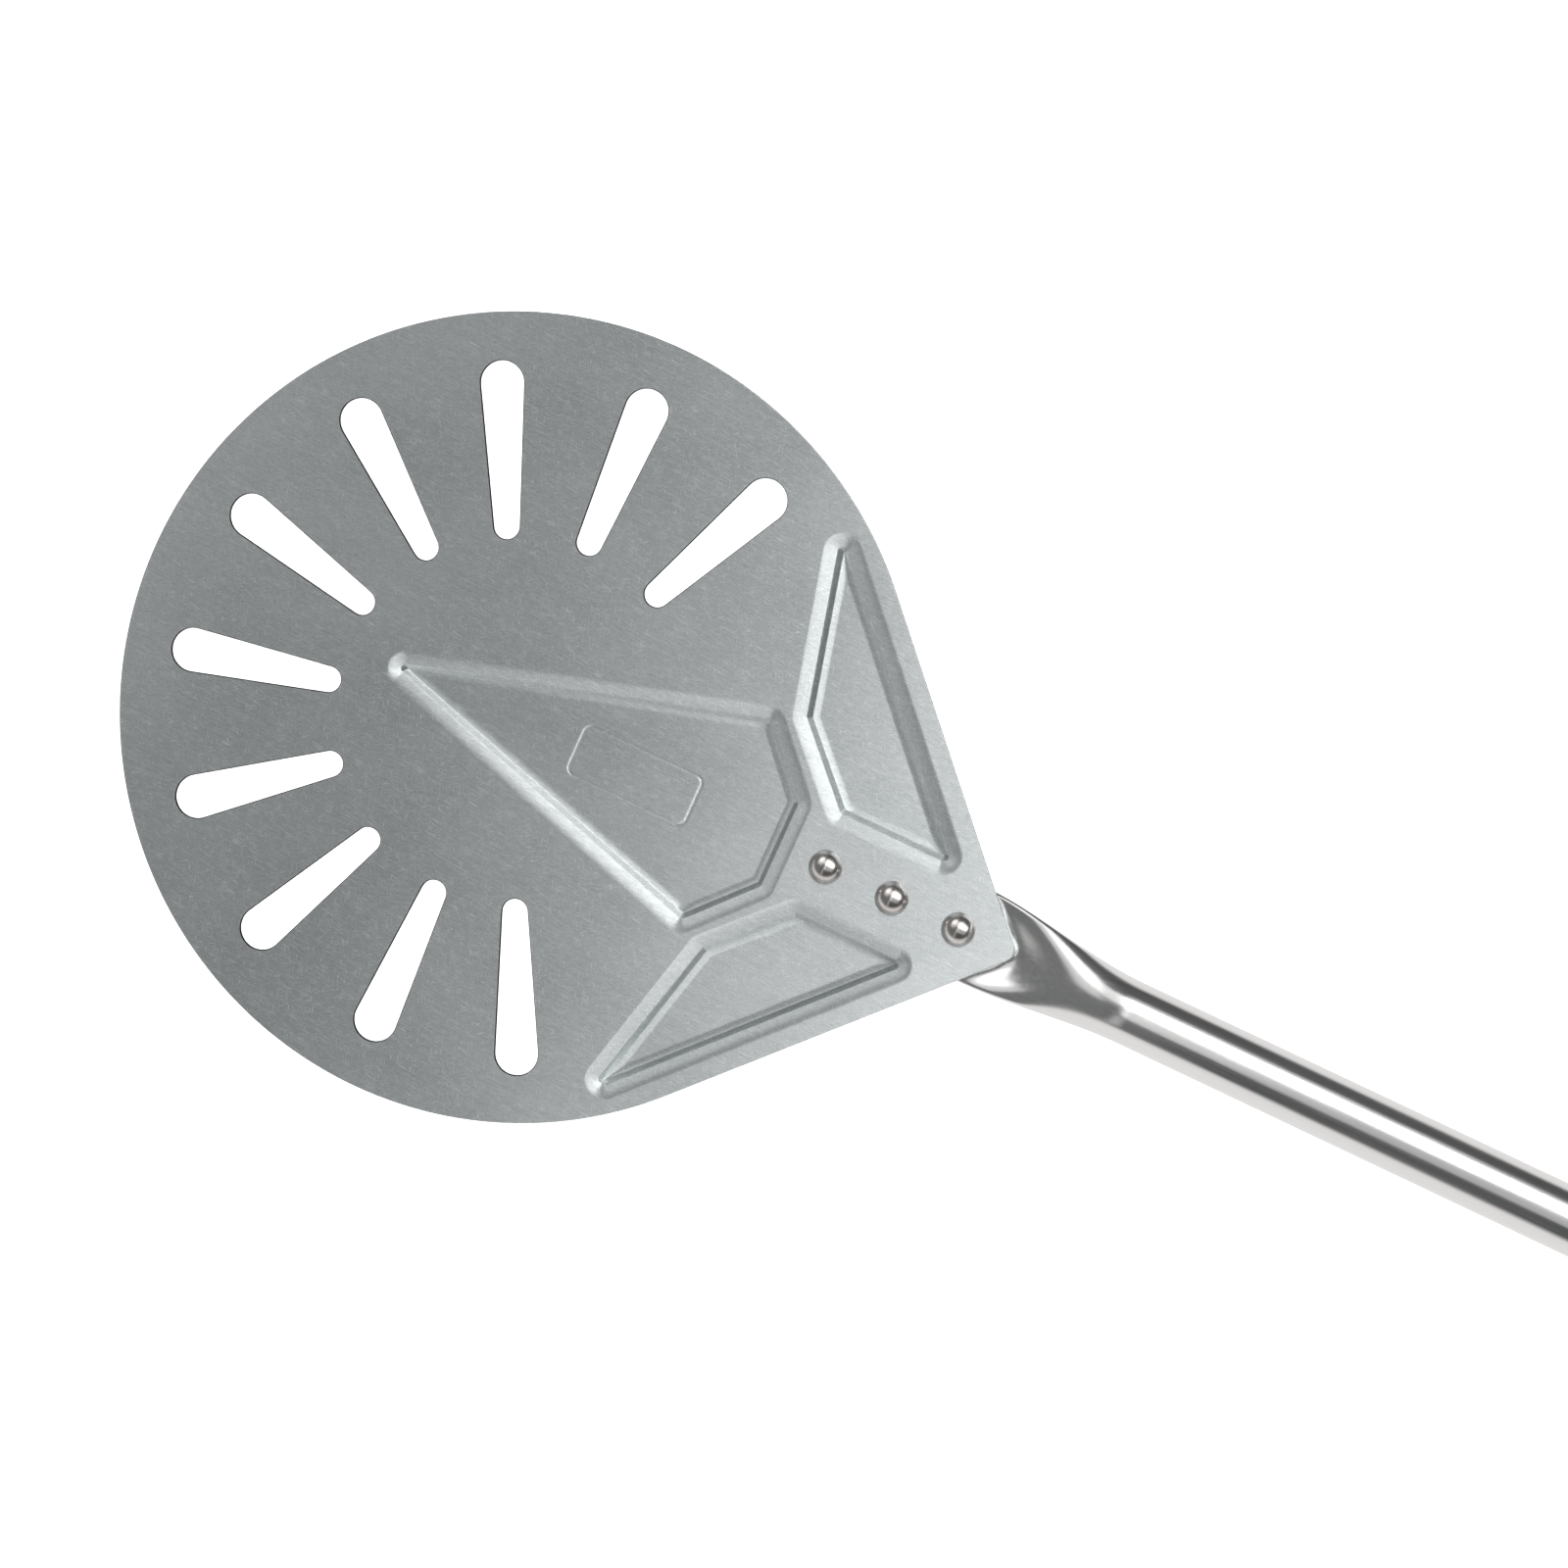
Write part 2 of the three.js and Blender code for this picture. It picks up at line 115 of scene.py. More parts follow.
# Grips, as distances back from the end of the neck along the tube
TUBE_REAR = 668.0
SLEEVE_FRONT, SLEEVE_LENGTH, SLEEVE_RADIUS = 430.0, 140.0, 12.0
SLEEVE_BORE = 9.0
SLEEVE_MEAN_RADIUS, SLEEVE_WAIST = 11.4, 0.4
SLEEVE_GROOVES, SLEEVE_GROOVE_DEPTH = 15, 0.55
SLEEVE_PLAIN_END = 22.0
BUSH_FLANGE, BUSH_LENGTH = 1.5, 12.0
BUSH_GAP = 0.06
GRIP_FRONT, GRIP_RADIUS = 588.0, 12.0
GRIP_SWELL, GRIP_SWELL_LENGTH = 0.55, 56.0
GRIP_GROOVE_SPAN = (14.0, 50.0)
GRIP_GROOVE_PITCH, GRIP_GROOVE_DEPTH = 4.0, 0.5
POMMEL_PLACE, POMMEL_RADIUS, POMMEL_FLARE = 662.0, 15.0, 24.0
POMMEL_FLATTENING = (1.0, 20.0)
EYE_THICKNESS, EYE_RADIUS, EYE_RING_RADIUS = 12.0, 7.0, 14.0
EYE_FLARE = 2.2
EYE_SQUARENESS = 4.5
PIN_PLACE, PIN_RADIUS = 646.0, 2.0

TAIL_TIP = HEAD_RADIUS / math.sin(TAIL_HALF_ANGLE) - TAIL_ROUND * (1 / math.sin(TAIL_HALF_ANGLE) - 1)
HANDLE_END = TAIL_TIP + HANDLE_LENGTH - NECK_END
HANDLE_RISE = math.asin((POMMEL_RADIUS - AXIS_HEIGHT) / POMMEL_PLACE)
HANDLE = Matrix.Translation((NECK_END, 0, AXIS_HEIGHT)) @ Matrix.Rotation(-HANDLE_RISE, 4, "Y")

# Materials: the darkest and lightest colour of each, and scratches as (turn, length, width, cut level)
SHEET_COLOURS = (0.555, 0.59, 0.595), (0.93, 0.955, 0.957)
TUBE_COLOURS = (0.70, 0.695, 0.69), (0.84, 0.835, 0.83)
RIVET_COLOURS = (0.56, 0.53, 0.51), (0.72, 0.69, 0.67)
GRIP_COLOURS = (0.028, 0.030, 0.032), (0.050, 0.053, 0.056)
BUSH_COLOURS = (0.26, 0.27, 0.28), (0.36, 0.37, 0.38)
SHEET_HAIRLINES = (8, 5, 0.12, 0.72), (-35, 3, 0.12, 0.73), (70, 2.5, 0.12, 0.73)
SHEET_SPECKS = ((0, 0.3, 0.3, 0.74),)
RIVET_HAIRLINES = (20, 2.5, 0.12, 0.72), (-50, 2, 0.1, 0.74)
SCRATCH_SOFTNESS = 0.04

# Camera: where the photographer stood over the blade
CAMERA_PLACE = (180.2, 133.4, 1041.5)
CAMERA_TURN = (-3.374, 8.328, 24.543)
CAMERA_LENS = 98.9
SENSOR = 36.0
CAMERA_REACH = 50.0

# Studio, in metres. The cove's section is (radius, height). The world's colours blend over a span of one
# component of a direction.
FLOOR_DROP = -0.0004
COVE_SECTION = (0.6, 0.0), (9.0, 0.0), (12.0, 0.6), (14.0, 2.4), (15.0, 6.0), (15.0, 12.0)
COVE_TONE = 0.86
COVE_GLOW = 1.0
DOME_RADIUS = 20.0
WORLD_TILT = 23.0
WORLD_LOW = (0.95, 0.935, 0.93)
WORLD_HIGH = (0.090, 0.093, 0.093)
WORLD_LEFT = (0.19, 0.195, 0.195)
WORLD_LEFT_EDGE = (0.16, 0.42)
WORLD_HORIZON = (-0.08, 0.2)
# A panel light is its two edges as (Y, Z), its span in X, and its radiance.
PANELS = {
    "key_panel": ((0.33, 1.155), (0.90, 0.80), (0.03, 1.5), 3.7),
    "key_fringe": ((-0.38, 1.18), (1.5, 0.79), (0.03, 1.6), 0.42),
    "middle_panel": ((0.33, 1.155), (0.90, 0.80), (-0.15, 0.03), 0.9),
    "far_panel": ((0.33, 1.155), (0.90, 0.80), (-0.5, -0.15), 0.7),
    "long_panel": ((0.45, 1.077), (1.4, 0.81), (-1.5, -0.5), 1.6),
    "long_fringe": ((0.01, 1.2), (0.45, 1.077), (-1.5, -0.5), 0.6),
    "left_panel": ((-0.99, 0.67), (-0.41, 1.13), (-0.1, 0.07), 0.5),
    "tail_panel": ((-0.33, 1.16), (0.33, 1.16), (0.0, 0.11), 1.3),
}


# Mesh helpers ----------------------------------------------------------------------------------------

def piece(name, points, faces, material, body, nodes=(), normals=None):
    """One riding piece from points in millimetres."""
    mesh = bpy.data.meshes.new(name)
    mesh.from_pydata([Vector(p) * MM for p in points], [], faces)
    mesh.validate()
    mesh.polygons.foreach_set("use_smooth", [True] * len(mesh.polygons))
    if normals:
        mesh.normals_split_custom_set_from_vertices(normals)
    mesh.materials.append(material)
    return settle(bpy.data.objects.new(name, mesh), body, nodes)


def settle(made, body, nodes):
    """Puts a finished piece in the scene, on its body and the CAD nodes that it replaces."""
    if made.name not in bpy.context.scene.collection.objects:
        bpy.context.scene.collection.objects.link(made)
    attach(made, body)
    if nodes:
        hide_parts(*nodes)
    return made


def ring_faces(rows, around):
    """Quads between successive rings of a surface that closes on itself."""
    faces = []
    for row in range(rows - 1):
        near, far = row * around, (row + 1) * around
        for a in range(around):
            b = (a + 1) % around
            faces.append((near + a, near + b, far + b, far + a))
    return faces


def turned(profile, around, axis="X"):
    """Points and faces of a closed profile of (radius, distance) pairs turned about X or Z.
    A profile that starts and ends on the axis is closed by a fan at each end."""
    on_axis = profile[0][0] == 0
    rings = profile[1:-1] if on_axis else profile
    points = []
    for radius, along in rings:
        for a in range(around):
            turn = 2 * math.pi * a / around
            across, up = radius * math.cos(turn), radius * math.sin(turn)
            points.append((along, across, up) if axis == "X" else (across, up, along))
    faces = ring_faces(len(rings), around)
    last = (len(rings) - 1) * around
    if on_axis:
        first_pole, last_pole = len(points), len(points) + 1
        for _, along in (profile[0], profile[-1]):
            points.append((along, 0, 0) if axis == "X" else (0, 0, along))
        for a in range(around):
            b = (a + 1) % around
            faces.append((first_pole, b, a))
            faces.append((last_pole, last + a, last + b))
    else:
        for a in range(around):
            b = (a + 1) % around
            faces.append((last + a, last + b, b, a))
    return points, faces


def outward(mesh_object):
    """Turns every face of a closed mesh outwards."""
    edited = bmesh.new()
    edited.from_mesh(mesh_object.data)
    bmesh.ops.recalc_face_normals(edited, faces=edited.faces)
    edited.to_mesh(mesh_object.data)
    edited.free()


def sharpen(mesh_object, degrees):
    """Makes the shading break at edges sharper than the angle."""
    edited = bmesh.new()
    edited.from_mesh(mesh_object.data)
    for edge in edited.edges:
        if edge.is_manifold and edge.calc_face_angle(0) > math.radians(degrees):
            edge.smooth = False
    edited.to_mesh(mesh_object.data)
    edited.free()


def rounded(profile, radius, steps=4):
    """A profile whose corners are replaced by small arcs, as a moulded or turned edge has."""
    out = [profile[0]]
    for before, corner, after in zip(profile, profile[1:], profile[2:]):
        p, q, r = Vector(before), Vector(corner), Vector(after)
        reach = min(radius, (q - p).length * 0.45, (r - q).length * 0.45)
        start = q + (p - q).normalized() * reach
        end = q + (r - q).normalized() * reach
        for i in range(steps + 1):
            t = i / steps
            out.append(tuple((1 - t) ** 2 * start + 2 * t * (1 - t) * q + t ** 2 * end))
    out.append(profile[-1])
    return out


def smoothstep(low, high, value):
    """0 below low, 1 above high, and a smooth rise between them."""
    t = min(1.0, max(0.0, (value - low) / (high - low)))
    return t * t * (3 - 2 * t)


def mix(a, b, t):
    """The value a share t of the way from a to b."""
    return a + (b - a) * t


# Materials -------------------------------------------------------------------------------------------

class Paint:
    """A small wrapper that adds nodes to one material's Principled shader."""

    def __init__(self, name):
        self.material = bpy.data.materials.new(name)
        self.material.use_nodes = True
        self.tree = self.material.node_tree
        self.shader = self.tree.nodes["Principled BSDF"]
        self.place = self.add("ShaderNodeTexCoord").outputs["Object"]

    def add(self, kind, **values):
        made = self.tree.nodes.new(kind)
        for key, value in values.items():
            setattr(made, key, value)
        return made

    def link(self, source, target):
        self.tree.links.new(source, target)

    def set(self, **values):
        for key, value in values.items():
            self.shader.inputs[key.replace("_", " ")].default_value = value

    def stretched(self, scale, turn):
        """Object coordinates in metres times a scale for each axis, after a turn about Z in degrees."""
        spin = self.add("ShaderNodeMapping")
        spin.inputs["Rotation"].default_value = (0, 0, math.radians(turn))
        self.link(self.place, spin.inputs["Vector"])
        size = self.add("ShaderNodeMapping")
        size.inputs["Scale"].default_value = scale
        self.link(spin.outputs["Vector"], size.inputs["Vector"])
        return size.outputs["Vector"]

    def noise(self, scale, detail=2.0, turn=0.0, rough=0.5):
        """Noise with a scale for each axis, in waves per metre."""
        node = self.add("ShaderNodeTexNoise")
        node.inputs["Scale"].default_value = 1.0
        node.inputs["Detail"].default_value = detail
        node.inputs["Roughness"].default_value = rough
        self.link(self.stretched(scale, turn), node.inputs["Vector"])
        return node.outputs["Fac"]

    def scaled(self, source, low, high, from_low=0.0, from_high=1.0):
        """A value moved from one range to another and held inside it."""
        node = self.add("ShaderNodeMapRange")
        node.inputs["From Min"].default_value = from_low
        node.inputs["From Max"].default_value = from_high
        node.inputs["To Min"].default_value = low
        node.inputs["To Max"].default_value = high
        self.link(source, node.inputs["Value"])
        return node.outputs["Result"]

    def math(self, operation, first, second):
        node = self.add("ShaderNodeMath", operation=operation)
        for socket, value in zip(node.inputs, (first, second)):
            if isinstance(value, (int, float)):
                socket.default_value = value
            else:
                self.link(value, socket)
        return node.outputs["Value"]

    def blend(self, factor, dark, light):
        node = self.add("ShaderNodeMix", data_type="RGBA")
        self.link(factor, node.inputs["Factor"])
        node.inputs["A"].default_value = (*dark, 1)
        node.inputs["B"].default_value = (*light, 1)
        return node.outputs["Result"]

    def bump(self, height, depth, strength):
        """Relief whose full height is a depth in millimetres."""
        node = self.add("ShaderNodeBump")
        node.inputs["Strength"].default_value = strength
        node.inputs["Distance"].default_value = depth * MM
        self.link(height, node.inputs["Height"])
        self.link(node.outputs["Normal"], self.shader.inputs["Normal"])


def scratches(paint, layers):
    """Sparse fine marks: for each (turn, length, width, level) a stretched noise cut at a high level."""
    total = 0.0
    for turn, length, width, level in layers:
        line = paint.noise((1 / (length * MM), 1 / (width * MM), 40), detail=0.0, turn=turn)
        line = paint.scaled(line, 0, 1, level, level + SCRATCH_SOFTNESS)
        total = paint.math("MAXIMUM", total, line)
    return total


def brushed_sheet():
    """Steel brushed along the handle, so highlights spread across it, with a few hairlines and specks."""
    paint = Paint("brushed_sheet_steel")
    streak = paint.noise((90, 1500, 1500), detail=3.0, rough=0.62)
    grain = paint.noise((550, 4200, 4200), detail=2.0, rough=0.7)
    mottle = paint.noise((22, 30, 30), detail=2.0)
    both = paint.math("ADD", paint.math("MULTIPLY", streak, 0.35), paint.math("MULTIPLY", grain, 0.65))
    lines = scratches(paint, SHEET_HAIRLINES + SHEET_SPECKS)
    level = paint.math("ADD", both, paint.math("MULTIPLY", paint.math("SUBTRACT", mottle, 0.5), 0.45))
    level = paint.math("ADD", level, paint.math("MULTIPLY", lines, 1.2))
    tone = paint.scaled(level, 0, 1, 0.30, 1.00)
    paint.link(paint.blend(tone, *SHEET_COLOURS), paint.shader.inputs["Base Color"])
    rough = paint.scaled(both, 0.48, 0.36, 0.3, 0.7)
    rough = paint.math("ADD", rough, paint.math("MULTIPLY", lines, 0.15))
    paint.link(rough, paint.shader.inputs["Roughness"])
    paint.set(Metallic=1.0, Anisotropic=0.92)
    tangent = paint.add("ShaderNodeTangent", direction_type="UV_MAP", uv_map="brushing")
    paint.link(tangent.outputs["Tangent"], paint.shader.inputs["Tangent"])
    paint.bump(paint.math("SUBTRACT", both, paint.math("MULTIPLY", lines, 0.3)), 0.012, 0.5)
    return paint.material


def polished_tube():
    """Nearly mirror-bright steel with fine drawing lines along it."""
    paint = Paint("polished_tube_steel")
    streak = paint.noise((14, 1100, 1100), detail=3.0, rough=0.6)
    fine = paint.noise((60, 5200, 5200), detail=1.0)
    both = paint.math("ADD", paint.math("MULTIPLY", streak, 0.6), paint.math("MULTIPLY", fine, 0.4))
    paint.link(paint.blend(both, *TUBE_COLOURS), paint.shader.inputs["Base Color"])
    paint.link(paint.scaled(both, 0.16, 0.27, 0.35, 0.7), paint.shader.inputs["Roughness"])
    paint.set(Metallic=1.0)
    paint.bump(both, 0.006, 0.4)
    return paint.material


def rivet_steel():
    """Slightly warmer and darker polished steel."""
    paint = Paint("rivet_steel")
    cloud = paint.noise((450, 450, 450), detail=3.0)
    lines = scratches(paint, RIVET_HAIRLINES)
    paint.link(paint.blend(cloud, *RIVET_COLOURS), paint.shader.inputs["Base Color"])
    level = paint.math("ADD", paint.math("MULTIPLY", cloud, 0.5), paint.math("MULTIPLY", lines, 0.5))
    paint.link(paint.scaled(level, 0.20, 0.32), paint.shader.inputs["Roughness"])
    paint.set(Metallic=1.0)
    paint.bump(level, 0.004, 0.4)
    return paint.material


def polymer(name, colours, roughness):
    """A moulded polymer with a fine pebbled face."""
    paint = Paint(name)
    pebble = paint.add("ShaderNodeTexVoronoi", feature="SMOOTH_F1")
    pebble.inputs["Scale"].default_value = 1900.0
    paint.link(paint.place, pebble.inputs["Vector"])
    cloud = paint.noise((60, 60, 60), detail=4.0)
    fine = paint.noise((2600, 2600, 2600), detail=2.0)
    paint.link(paint.blend(cloud, *colours), paint.shader.inputs["Base Color"])
    paint.link(paint.scaled(fine, roughness - 0.08, roughness + 0.1), paint.shader.inputs["Roughness"])
    height = paint.math("ADD", pebble.outputs["Distance"], paint.math("MULTIPLY", fine, 0.4))
    paint.bump(height, 0.06, 0.5)
    return paint.material


SHEET_STEEL = brushed_sheet()
TUBE_STEEL = polished_tube()
RIVET_STEEL = rivet_steel()
GRIP_POLYMER = polymer("grip_polymer", GRIP_COLOURS, 0.5)
BUSH_POLYMER = polymer("bush_polymer", BUSH_COLOURS, 0.42)


# Blade -----------------------------------------------------------------------------------------------

def arc(centre, radius, start, end, steps, facing=1):
    """(point, normal) pairs round an arc. Facing is 1 where the material lies inside it, -1 outside."""
    pairs = []
    for i in range(steps + 1):
        turn = mix(start, end, i / steps)
        direction = Vector((math.cos(turn), math.sin(turn)))
        pairs.append((Vector(centre) + direction * radius, direction * facing))
    return pairs


def blade_outline():
    """The head's arc, and the rounded point of the V-shaped tail whose sides touch it."""
    touch = math.pi / 2 - TAIL_HALF_ANGLE
    head = arc((0, 0), HEAD_RADIUS, touch, 2 * math.pi - touch, 320)
    tail = arc((TAIL_TIP - TAIL_ROUND, 0), TAIL_ROUND, -touch, touch, 20)
    return head + tail


def slot_outline(angle):
    """A tapered slot that points at the middle of the head: two arcs joined by their common tangents."""
    inner = SLOT_INNER_END + SLOT_INNER_RADIUS
    outer = SLOT_OUTER_END - SLOT_OUTER_RADIUS
    lean = math.pi / 2 + math.asin((SLOT_OUTER_RADIUS - SLOT_INNER_RADIUS) / (outer - inner))
    direction = Vector((math.cos(angle), math.sin(angle)))
    near = arc(direction * inner, SLOT_INNER_RADIUS, angle + lean, angle - lean + 2 * math.pi, 20, -1)
    far = arc(direction * outer, SLOT_OUTER_RADIUS, angle - lean, angle + lean, 28, -1)
    return near + far


def ordered(corners):
    """Corners going round to the left."""
    area = sum(a[0] * b[1] - b[0] * a[1] for a, b in zip(corners, corners[1:] + corners[:1]))
    return [Vector(c) for c in (corners if area > 0 else corners[::-1])]


PANS = [ordered(pan) for pan in (CENTRE_PAN, SIDE_PAN, tuple((x, -y) for x, y in SIDE_PAN))]


def signed_distance(place, corners):
    """Distance from a convex outline, negative inside."""
    inside = -1e9
    outside = 1e9
    for a, b in zip(corners, corners[1:] + corners[:1]):
        edge = b - a
        normal = Vector((edge.y, -edge.x)).normalized()
        level = (place - a).dot(normal)
        inside = max(inside, level)
        share = min(1.0, max(0.0, (place - a).dot(edge) / edge.length_squared))
        outside = min(outside, (place - a - edge * share).length)
    return inside if inside <= 0 else outside


def bend_height(distance):
    """0 on a pan's floor, 1 on the flat of the sheet: a soft bend with a short steep wall in it."""
    bend = smoothstep(BEND_INNER, BEND_OUTER, distance)
    wall = smoothstep(WALL_FOOT, WALL_HEAD, distance)
    return mix(bend, wall, WALL_SHARE)


def panel_distance(place):
    """Distance from the outline of the blank stamped panel in the middle pan."""
    dx = abs(place.x - PANEL_CENTRE[0]) - PANEL_HALF_SIZE[0] + PANEL_CORNER
    dy = abs(place.y - PANEL_CENTRE[1]) - PANEL_HALF_SIZE[1] + PANEL_CORNER
    outside = math.hypot(max(dx, 0), max(dy, 0))
    return outside + min(max(dx, dy), 0) - PANEL_CORNER


def sheet_height(place):
    """Height of the sheet's upper face."""
    height = SHEET_TOP
    for corners in PANS:
        distance = signed_distance(place, corners)
        if distance < BEND_OUTER:
            height -= PAN_DEPTH * (1 - bend_height(distance))
    groove = panel_distance(place) / PANEL_GROOVE_WIDTH
    if abs(groove) < 4:
        height -= PANEL_GROOVE * math.exp(-groove * groove)
    return height


def sheet_normal(place):
    """Upward normal of the sheet, from the slope of its height."""
    step = 0.02
    dx = sheet_height(place + Vector((step, 0))) - sheet_height(place - Vector((step, 0)))
    dy = sheet_height(place + Vector((0, step))) - sheet_height(place - Vector((0, step)))
    return Vector((-dx, -dy, 2 * step)).normalized()


def side_normal(start, end):
    """Outward normal of one side of an outline that goes round to the left."""
    along = (end - start).normalized()
    return Vector((along.y, -along.x))


def mitred(corner, first, second, offset):
    """Where two sides of an outline meet when both are moved by an offset, from their normals."""
    bisector = (first + second).normalized()
    return corner + bisector * (offset / bisector.dot(first))


def offset_ring(corners, offset):
    """Points round a convex outline at an offset: round corners outside it, mitred corners inside."""
    ring = []
    count = len(corners)
    for i, corner in enumerate(corners):
        after, beyond = corners[(i + 1) % count], corners[(i + 2) % count]
        normal_in, normal_out = side_normal(corners[i - 1], corner), side_normal(corner, after)
        if offset > 0:
            turn = normal_in.angle(normal_out)
            steps = max(2, math.ceil(turn * (offset + CORNER_REACH) / CORNER_SPACING))
            start = math.atan2(normal_in.y, normal_in.x)
            for k in range(steps + 1):
                angle = start + turn * k / steps
                ring.append(corner + Vector((math.cos(angle), math.sin(angle))) * offset)
            end = corner + normal_out * offset
            stop = after + normal_out * offset
        else:
            end = mitred(corner, normal_in, normal_out, offset)
            stop = mitred(after, normal_out, side_normal(after, beyond), offset)
            ring.append(end)
        parts = max(1, round((stop - end).length / RING_SPACING))
        ring += [end.lerp(stop, k / parts) for k in range(1, parts)]
    return ring


def panel_ring(offset):
    """Points round the stamped panel's outline at an offset."""
    ring = []
    radius = PANEL_CORNER + offset
    half_x = PANEL_HALF_SIZE[0] - PANEL_CORNER
    half_y = PANEL_HALF_SIZE[1] - PANEL_CORNER
    for quarter, (sx, sy) in enumerate(((1, 1), (-1, 1), (-1, -1), (1, -1))):
        centre = (PANEL_CENTRE[0] + sx * half_x, PANEL_CENTRE[1] + sy * half_y)
        start = quarter * math.pi / 2
        ring += [point for point, _ in arc(centre, radius, start, start + math.pi / 2, 8)]
    return ring


def blade_loops():
    """The outline, the slots and the rivet holes, each a list of (point, normal) pairs."""
    loops = [blade_outline()]
    for i in range(SLOT_COUNT):
        loops.append(slot_outline(math.pi + (i - (SLOT_COUNT - 1) / 2) * SLOT_STEP))
    for i in range(len(RIVET_NAMES)):
        centre = (FIRST_RIVET + i * RIVET_PITCH, 0)
        loops.append(arc(centre, RIVET_SHANK_RADIUS + GAP, 0, 2 * math.pi * 23 / 24, 23, -1))
    return loops


def blade_plan(loops):
    """The sheet's plan, cut into faces along the bends: its points, its faces, and where each point of the
    loops is among its points."""
    flat = []
    edges = []
    loop_of = {}
    for number, loop in enumerate(loops):
        first = len(flat)
        for k, (point, normal) in enumerate(loop):
            loop_of[len(flat)] = number
            flat.append(point - normal * EDGE_ROUND)
            edges.append((first + k, first + (k + 1) % len(loop)))
    rings = [offset_ring(corners, offset) for corners in PANS for offset in BEND_RINGS]
    rings += [panel_ring(offset) for offset in PANEL_RINGS]
    for ring in rings:
        first = len(flat)
        flat += ring
        edges += [(first + k, first + (k + 1) % len(ring)) for k in range(len(ring))]
    plan, _, faces, source, _, _ = delaunay_2d_cdt(flat, edges, [], 0, 1e-5)
    origin = [min(given) if given else -1 for given in source]
    # A face whose corners all belong to one hole fills that hole, so it is left out. Loop 0 is the outline.
    kept = []
    for face in faces:
        owners = {loop_of.get(origin[v], -1) for v in face}
        if len(owners) > 1 or max(owners) <= 0:
            kept.append(tuple(face))
    return plan, kept, {origin[v]: v for v in range(len(plan)) if origin[v] in loop_of}


def blade():
    """The pressed sheet: its plan lifted to the sheet's height, above and below, and closed by a rounded cut
    edge round every hole and the outline."""
    loops = blade_loops()
    plan, plan_faces, plan_index = blade_plan(loops)
    count = len(plan)
    points = []
    normals = []
    for side in (1, -1):
        for place in plan:
            height = sheet_height(place) - (0 if side > 0 else SHEET)
            points.append((place.x, place.y, height))
            normals.append(sheet_normal(place) * side)
    faces = plan_faces + [tuple(v + count for v in reversed(face)) for face in plan_faces]
    # The cut edge is a rounded corner, an upright face and a rounded corner below. Each bend is how far in
    # and how far down a point lies, as shares of the rounding. A level adds its base and its normal's rise.
    bends = [(0.5, 0.15), (0.15, 0.5), (0.0, 1.0)]
    levels = [(inset, SHEET_TOP, -drop, inset) for inset, drop in bends]
    levels += [(inset, SHEET_TOP - SHEET, drop, -inset) for inset, drop in bends[::-1]]
    start = 0
    for loop in loops:
        columns = []
        for k, (point, normal) in enumerate(loop):
            top = plan_index[start + k]
            column = [top]
            for inset, base, rise, up in levels:
                spot = point - normal * inset * EDGE_ROUND
                out = 1.0 - inset
                column.append(len(points))
                points.append((spot.x, spot.y, base + rise * EDGE_ROUND))
                normals.append(Vector((normal.x * out, normal.y * out, up)).normalized())
            column.append(top + count)
            columns.append(column)
        for a, b in zip(columns, columns[1:] + columns[:1]):
            for level in range(len(a) - 1):
                faces.append((a[level], a[level + 1], b[level + 1], b[level]))
        start += len(loop)
    made = piece("pressed_blade", points, faces, SHEET_STEEL, "peel", ("blade",), normals)
    layer = made.data.uv_layers.new(name="brushing")
    for loop in made.data.loops:
        place = made.data.vertices[loop.vertex_index].co
        layer.data[loop.index].uv = (place.y, -place.x)


# Rivets ----------------------------------------------------------------------------------------------

def rivet(name, number):
    """A domed head standing on the blade, and a tail set flush in the underside of the tube."""
    dome_radius = (RIVET_HEAD_RADIUS ** 2 + RIVET_HEAD_HEIGHT ** 2) / (2 * RIVET_HEAD_HEIGHT)
    half_angle = math.asin(RIVET_HEAD_RADIUS / dome_radius)
    steps = 24
    tail = FLAT_BOTTOM - 0.06
    seat = SHEET_TOP + 0.02
    brim = SHEET_TOP + 0.12
    profile = [(0, tail), (RIVET_TAIL_RADIUS - 0.5, tail), (RIVET_TAIL_RADIUS - 0.15, tail + 0.05),
               (RIVET_TAIL_RADIUS, tail + 0.16), (RIVET_SHANK_RADIUS, FLAT_BOTTOM + RIVET_TAIL_DEPTH),
               (RIVET_SHANK_RADIUS, seat), (RIVET_HEAD_RADIUS - 0.25, seat),
               (RIVET_HEAD_RADIUS - 0.06, SHEET_TOP + 0.08)]
    for i in range(steps + 1):
        angle = half_angle * (1 - i / steps)
        height = brim + RIVET_HEAD_HEIGHT - dome_radius * (1 - math.cos(angle))
        profile.append((dome_radius * math.sin(angle), height))
    profile[-1] = (0, profile[-1][1])
    points, faces = turned(profile, 64, axis="Z")
    place = FIRST_RIVET + number * RIVET_PITCH
    points = [(x + place, y, z) for x, y, z in points]
    made = piece(name + "_domed", points, faces, RIVET_STEEL, "peel", (name,))
    outward(made)
    sharpen(made, 40)


# Tube ------------------------------------------------------------------------------------------------

def on_handle(points):
    """Points given along the round tube's axis, moved to the frame."""
    return [tuple(HANDLE @ Vector(p)) for p in points]


def strip_point(angle):
    """A point of the flattened tube's section, at the same share of its girth as on the round tube."""
    flat = FLAT_WIDTH / 2 - FLAT_HALF
    edge = FLAT_HALF * math.pi / 2
    side, up = math.cos(angle), math.sin(angle)
    travelled = math.asin(min(1.0, abs(up))) / (math.pi / 2) * (edge + flat)
    turn = min(travelled / FLAT_HALF, math.pi / 2)
    y = flat - max(0.0, travelled - edge) + FLAT_HALF * math.cos(turn)
    z = FLAT_HALF * math.sin(turn)
    return math.copysign(y, side), math.copysign(z, up) + FLAT_HALF - TUBE_RADIUS


